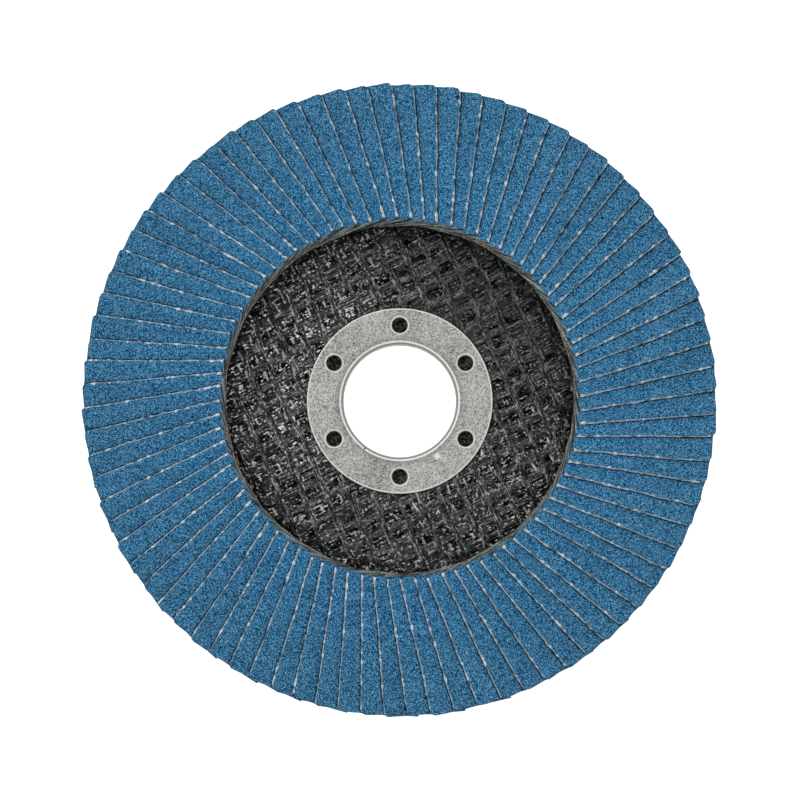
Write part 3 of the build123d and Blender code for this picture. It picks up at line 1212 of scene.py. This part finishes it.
@dataclass
class MeshPlate:
    """Moulded plate: flat hub, slope and rim, with a leno-woven glass mesh in its recess.

    Angles are degrees. The swing of a warp yarn comes before its half width.
    """

    bore: float = 11.835
    hub: float = 2.8
    wall: float = 2.4
    ring_radius: float = 18.35
    foot: float = 29.21
    crest: float = 34.01
    rise: float = 3.0
    rim: float = 55.0
    bevel: float = 0.4
    blend: float = 3.0
    skin: float = 0.5
    skin_end: float = 34.22
    seam: float = 0.02
    margin: Pair = (33.3, 34.1)
    groove: tuple[float, float, float] = (12.7, 17.3, 1.8)
    sides: int = 288
    sharp: float = 25.0
    warp_pitch: float = 4.15
    warp_angle: float = -66.5
    weft_pitch: float = 3.6
    weft_angle: float = 26.0
    tape_edge: Pair = (0.66, 0.94)
    upper_yarn: Pair = (0.34, 0.66)
    lower_yarn: Pair = (0.5, 0.46)
    drift_x: Noise = ((11, 0.5, 21), (2.3, 0.24, 22))
    drift_y: Noise = ((11, 0.5, 23), (2.3, 0.24, 24))
    rows: int = 106
    columns: int = 880

    def base(self, r: Array) -> Array:
        """Height of the bare recess at a radius: flat to the foot, then straight up to the crest."""
        return self.hub + self.rise * np.clip((r - self.foot) / (self.crest - self.foot), 0, 1)

    def windows(self, across_warp: Array, across_weft: Array, sheen: Array) -> tuple[Array, Array]:
        """Strands that stand in some windows of the mesh, each a bell curve beside that of a pit.

        The strands carry a painted highlight, and the pits painted shade.

        Args:
            across_warp: Distance of each point across the warps.
            across_weft: Distance of each point across the wefts.
            sheen: Strength of the glints, which sets how many windows have a strand.

        Returns:
            Strength of the strand and of the pit.
        """
        column, row = np.floor(across_warp / self.warp_pitch), np.floor(across_weft / self.weft_pitch)
        draws = np.random.default_rng(29).uniform(0, 1, (4, 64, 64))
        shift, tilt, chance, width = draws[:, column.astype(int) % 64, row.astype(int) % 64]
        window_x = across_warp - (column + 0.5) * self.warp_pitch
        window_y = across_weft - (row + 0.5) * self.weft_pitch
        from_strand = window_x - 1.5 * (shift - 0.4) + 0.3 * (tilt - 0.4) * window_y
        length = ease(0.55 + 0.6 * tilt - np.abs(window_y), 0.0, 0.3)
        strength = ease(chance * sheen, 0.3, 0.5) * length
        return strength * bell(from_strand, 0.1 + 0.1 * width), strength * bell(from_strand - 0.42, 0.24)

    def weave(self, x: Array, y: Array) -> tuple[Array, dict[str, Array]]:
        """Relief of the mesh.

        Flat weft tapes lie a pitch apart. Each warp is a pair of yarns that swap sides between tapes: the
        upper one bows over each tape as a rounded bar, and the lower one shows between them. A smooth union
        fills the creases with resin. In some windows a strand stands beside a pit. The named values carry
        painted highlights on strands, flanks, edges and ribs, and painted shade in pits, grooves and seams.

        Args:
            x: First coordinate of each point.
            y: Second coordinate of each point.

        Returns:
            Height over the bare recess, and the named values: share that belongs to the warp, share that
            stands proud less the painted shade in pits, grooves and seams, strength of the painted highlight,
            strength of its glints and share that lies in the recess.
        """
        side = np.arctan2(y, x)
        sheen = 0.6 + 0.3 * np.cos(side + 2.9) + 0.2 * np.cos(2 * side + 1.0)
        x, y = x + noise_sum(x, y, self.drift_x), y + noise_sum(x, y, self.drift_y)
        noise = partial(lattice_noise, x, y)
        across_warp, across_weft = (across_line(x, y, angle) for angle in (self.warp_angle, self.weft_angle))
        pair = np.round(across_warp / self.warp_pitch)
        from_pair = across_warp - pair * self.warp_pitch
        from_tape = across_weft - np.round(across_weft / self.weft_pitch) * self.weft_pitch
        swing = np.cos(np.pi * across_weft / self.weft_pitch + np.pi * pair)
        beat = np.cos(2 * np.pi * across_weft / self.weft_pitch)
        tapes = 0.2 - 0.16 * bell(from_pair, 0.9) - 0.5 * ease(np.abs(from_tape), *self.tape_edge)
        tapes = tapes + 0.05 * np.cos(2 * np.pi * from_tape / 0.55)
        upper = (from_pair - self.upper_yarn[0] * swing) / self.upper_yarn[1]
        lower = (from_pair + self.lower_yarn[0] * swing) / self.lower_yarn[1]
        warps = np.maximum(0.2 + 0.26 * beat + 0.3 * bar(upper, 4.0),
                           0.06 - 0.12 * beat + 0.24 * bar(lower, 5.0))
        strand, pit = self.windows(across_warp, across_weft, sheen)
        # Painted highlight on one flank of the upper yarn, stronger where the sheen is.
        flank = bell(upper + 0.85, 0.22) * ease(beat, -0.2, 0.6)
        flank = flank * ease(noise(2.0, 30) + 1.2 * sheen, 0.75, 1.3) * 0.6
        ribs = np.sin(2 * np.pi * (across_weft + 0.3 * noise(1.1, 31)) / 0.72)
        under = -0.38 + 0.07 * ribs + 0.07 * noise(0.9, 25)
        under = under + 0.22 * ease(noise(5.0, 26, 2), 0.12, 0.6) + 0.3 * strand
        height = smooth_union(smooth_union(tapes, warps, 0.05), under, 0.07) - 0.2 * pit
        height = height + 0.06 * noise(0.5, 27) + 0.05 * noise(2.2, 28)
        # Painted shade along the groove between warp and tape.
        groove = bell(warps - tapes, 0.05) * ease(noise(1.6, 34), -0.6, 0.2)
        share = ease(warps - tapes, -0.04, 0.04)
        # Painted shade along the edges of the tapes and the upper yarns.
        seam = np.maximum(bell(np.abs(from_tape) - 0.86, 0.13) * (1 - share), bell(np.abs(upper) - 1.05, 0.2))
        seam = seam * ease(noise(1.5, 35), -0.7, 0.1)
        # Pits, grooves and seams lower the raised share, which paints shade there.
        raised = ease(height, -0.11, 0.06) * (1 - pit) * (1 - 0.95 * groove) * (1 - 0.85 * seam)
        # Painted highlight along the edges of the raised parts.
        lip = bell(raised - 0.35, 0.25) * ease(noise(1.4, 32), -0.1, 0.5)
        rib = (1 - raised) * ease(ribs, -0.1, 0.8) * ease(noise(1.2, 33), -0.3, 0.4)
        # Strength of the painted highlight: strands, flanks, edges and ribs.
        painted_highlight = reduce(np.maximum, (strand, flank, 0.3 * lip, 0.07 * rib))
        return height, {"warp": share, "raised": raised, "painted_highlight": painted_highlight,
                        "sheen": np.clip(1.05 * sheen, 0.15, 1.0), "recess": np.ones_like(x)}

    def outline(self) -> Array:
        """Closed outline of the plate's body, whose recess lies lower by the thickness of the mesh.

        Returns:
            Radius and height of each corner.
        """
        half = math.atan2(self.rise, self.crest - self.foot) / 2
        back_foot = self.foot + self.hub * math.tan(half)
        back_crest = self.crest + self.wall * math.tan(half)
        top, under = self.hub + self.rise, self.hub + self.rise - self.wall
        inner, outer, floor = self.groove
        tangent = self.blend * math.tan(half)
        turn = np.linspace(0, 2 * half, 7)
        low = np.stack([back_foot - tangent + self.blend * np.sin(turn),
                        self.blend * (1 - np.cos(turn))], axis=1)
        high = np.array([back_crest + back_foot, under]) - low
        front = [(self.bore, 0), (self.bore, self.hub), (inner, self.hub), (inner, floor), (outer, floor),
                 (outer, self.hub), (self.ring_radius, self.hub), (self.ring_radius, self.hub - self.skin),
                 (self.foot, self.hub - self.skin), (self.crest, top - self.skin),
                 (self.skin_end, top - self.skin), (self.skin_end, top), (self.rim - self.bevel, top),
                 (self.rim, top - self.bevel), (self.rim, under + self.bevel), (self.rim - self.bevel, under)]
        return np.concatenate([np.array(front), high, low[::-1]])

    def build(self, finishes: Finishes) -> None:
        """Builds the plate's body and the mesh in its recess.

        The body is its outline, turned clockwise about the axis. The mesh is a grid of circles, closed below
        by three of them at the depth of the skin.

        Args:
            finishes: Materials of the object.
        """
        angles = -np.linspace(0, 2 * np.pi, self.sides, endpoint=False)
        outline = self.outline()
        r, z = outline[:, :1], outline[:, 1:]
        body = Draft()
        flat = {"warp": 0.5, "raised": 0.45, "painted_highlight": 0.0, "sheen": 0.0, "recess": 0.0}
        grid = np.stack([r * np.cos(angles), r * np.sin(angles), z + 0 * angles], axis=-1)
        body.add(grid, 0, flat, close_rows=True)
        piece = body.build("plate_body", (finishes.mesh,))
        piece.data.set_sharp_from_angle(angle=math.radians(self.sharp))
        mount(piece, ["backing_plate"])
        r = np.linspace(self.ring_radius + self.seam, self.skin_end - self.seam, self.rows)[:, None]
        angles = -np.linspace(0, 2 * np.pi, self.columns, endpoint=False)[None, :]
        x, y = r * np.cos(angles), r * np.sin(angles)
        height, layers = self.weave(x, y)
        outer = ease(r, *self.margin)
        height = height * (1 - outer) - 0.35 * outer
        top = np.stack([x, y, self.base(r) + np.maximum(height, 0.08 - self.skin)], axis=-1)
        turns = [-1, int(np.argmin(np.abs(r[:, 0] - self.foot))), 0]
        depth = np.broadcast_to(self.base(r) - self.skin + self.seam, x.shape)
        under = np.stack([x, y, depth], axis=-1)[turns]
        mesh = Draft()
        values = {name: np.concatenate([layer, layer[turns]]) for name, layer in layers.items()}
        mesh.add(np.concatenate([top, under]), 0, values, close_rows=True)
        mount(mesh.build("recess_glass_mesh", (finishes.mesh,)))


def dress_solid(node: str, finish: Material) -> None:
    """Gives a shown solid its finish.

    Args:
        node: Name of the solid.
        finish: Material.
    """
    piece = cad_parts[node]
    piece.data.materials.clear()
    piece.data.materials.append(finish)
    LOG.info("%s: solid kept, %d triangles", node, len(piece.data.polygons))


@dataclass
class Studio:
    """Pale floor, soft lamps, white surroundings and the camera, in metres, degrees and watts.

    The lens and the sensor are millimetres. A lamp is its name, place, side and power.
    """

    distance: float = 0.9
    elevation: float = 86.5
    lens: float = 206.25
    sensor: float = 36.0
    view_end: float = 20.0
    aim: tuple[float, float, float] = (0.00005, -0.00017, 0.009)
    surroundings: float = 0.55
    backdrop: float = 1.0
    floor_size: float = 6.0
    floor_gap: float = 0.00002
    floor_tooth: float = 0.00002
    floor_grey: float = 0.86
    floor_glow: float = 0.78
    lamps: tuple[tuple[str, tuple[float, float, float], float, float], ...] = (
        ("key_left", (-1.0, 0.25, 1.3), 0.5, 7.0),
        ("fill_top", (0.35, 1.1, 1.3), 0.6, 4.0),
        ("fill_right", (1.1, -0.6, 1.2), 0.4, 2.2),
    )

    def add_camera(self) -> None:
        """Puts a long lens above the disc, leant a little towards -Y."""
        data = bpy.data.cameras.new("camera")
        data.lens = self.lens
        data.sensor_width = self.sensor
        data.clip_end = self.view_end
        camera = add_object("camera", data)
        lean = math.radians(self.elevation)
        back = Vector((0.0, -math.cos(lean), math.sin(lean)))
        camera.location = Vector(self.aim) + back * self.distance
        camera.rotation_euler = (math.pi / 2 - lean, 0.0, 0.0)
        bpy.context.scene.camera = camera

    def add_lamp(self, name: str, place: tuple[float, float, float], size: float, power: float) -> None:
        """Adds a square soft lamp that faces the disc.

        Args:
            name: Name of the lamp.
            place: Where it stands.
            size: Side of the lamp.
            power: Its power.
        """
        data = bpy.data.lights.new(name, "AREA")
        data.shape = "SQUARE"
        data.size = size
        data.energy = power
        lamp = add_object(name, data)
        lamp.location = place
        lamp.rotation_mode = "QUATERNION"
        lamp.rotation_quaternion = (-Vector(place)).to_track_quat("-Z", "Y")

    def seen_directly(self, graph: Graph) -> Socket:
        """1 for what the camera, a gloss or a clear piece sees, and 0 for light that falls on the disc."""
        path = graph.node("LightPath").outputs
        return graph.larger(path["Is Camera Ray"], path["Is Glossy Ray"], path["Is Transmission Ray"])

    def add_world(self) -> None:
        """Even white surroundings."""
        world = bpy.data.worlds.new("studio")
        bpy.context.scene.world = world
        graph = Graph(blank_tree(world))
        extra = self.backdrop - self.surroundings
        strength = graph.math("MULTIPLY_ADD", self.seen_directly(graph), extra, self.surroundings)
        background = graph.node("Background", {"Color": (1.0, 1.0, 1.0), "Strength": strength})
        graph.node("OutputWorld", {"Surface": background.outputs[0]})

    def add_floor(self) -> None:
        """White floor under the disc, which keeps a soft shadow."""
        bpy.ops.mesh.primitive_plane_add(size=self.floor_size, location=(0.0, 0.0, -self.floor_gap))
        floor = bpy.context.object
        floor.name = "floor"
        material = bpy.data.materials.new("floor_paper")
        graph = Graph(blank_tree(material))
        tooth = graph.node("TexNoise", {"Vector": graph.place, "Scale": 900.0}).outputs[0]
        normal = graph.bump(tooth, self.floor_tooth, 0.2)
        paper = graph.node("BsdfDiffuse", {"Color": (self.floor_grey,) * 3, "Normal": normal})
        strength = graph.times(self.seen_directly(graph), self.floor_glow)
        glow = graph.node("Emission", {"Color": (1.0, 1.0, 1.0), "Strength": strength})
        both = graph.node("AddShader", {0: paper.outputs[0], 1: glow.outputs[0]})
        graph.node("OutputMaterial", {"Surface": both.outputs[0]})
        floor.data.materials.append(material)
        floor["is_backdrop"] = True

    def build(self) -> None:
        """Sets up the whole studio."""
        self.add_camera()
        self.add_world()
        self.add_floor()
        for lamp in self.lamps:
            self.add_lamp(*lamp)
        bpy.context.scene.view_settings.view_transform = "Standard"


def main() -> None:
    """Builds the camera, the pieces and the studio, sized from the box of the solids and the top of the bed.
    """
    logging.basicConfig(level=logging.INFO, format="%(name)s: %(message)s")
    solid_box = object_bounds()
    Studio().build()
    finishes = Finishes.build()
    bed_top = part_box("adhesive_bed")[1].z / MM
    FlapFan(seat=bed_top, ceiling=solid_box[1][2] / MM - TOP_ROOM).build(finishes)
    MeshPlate().build(finishes)
    dress_solid("centre_ring", finishes.zinc)
    dress_solid("adhesive_bed", finishes.adhesive)


if __name__ == "__main__":
    main()
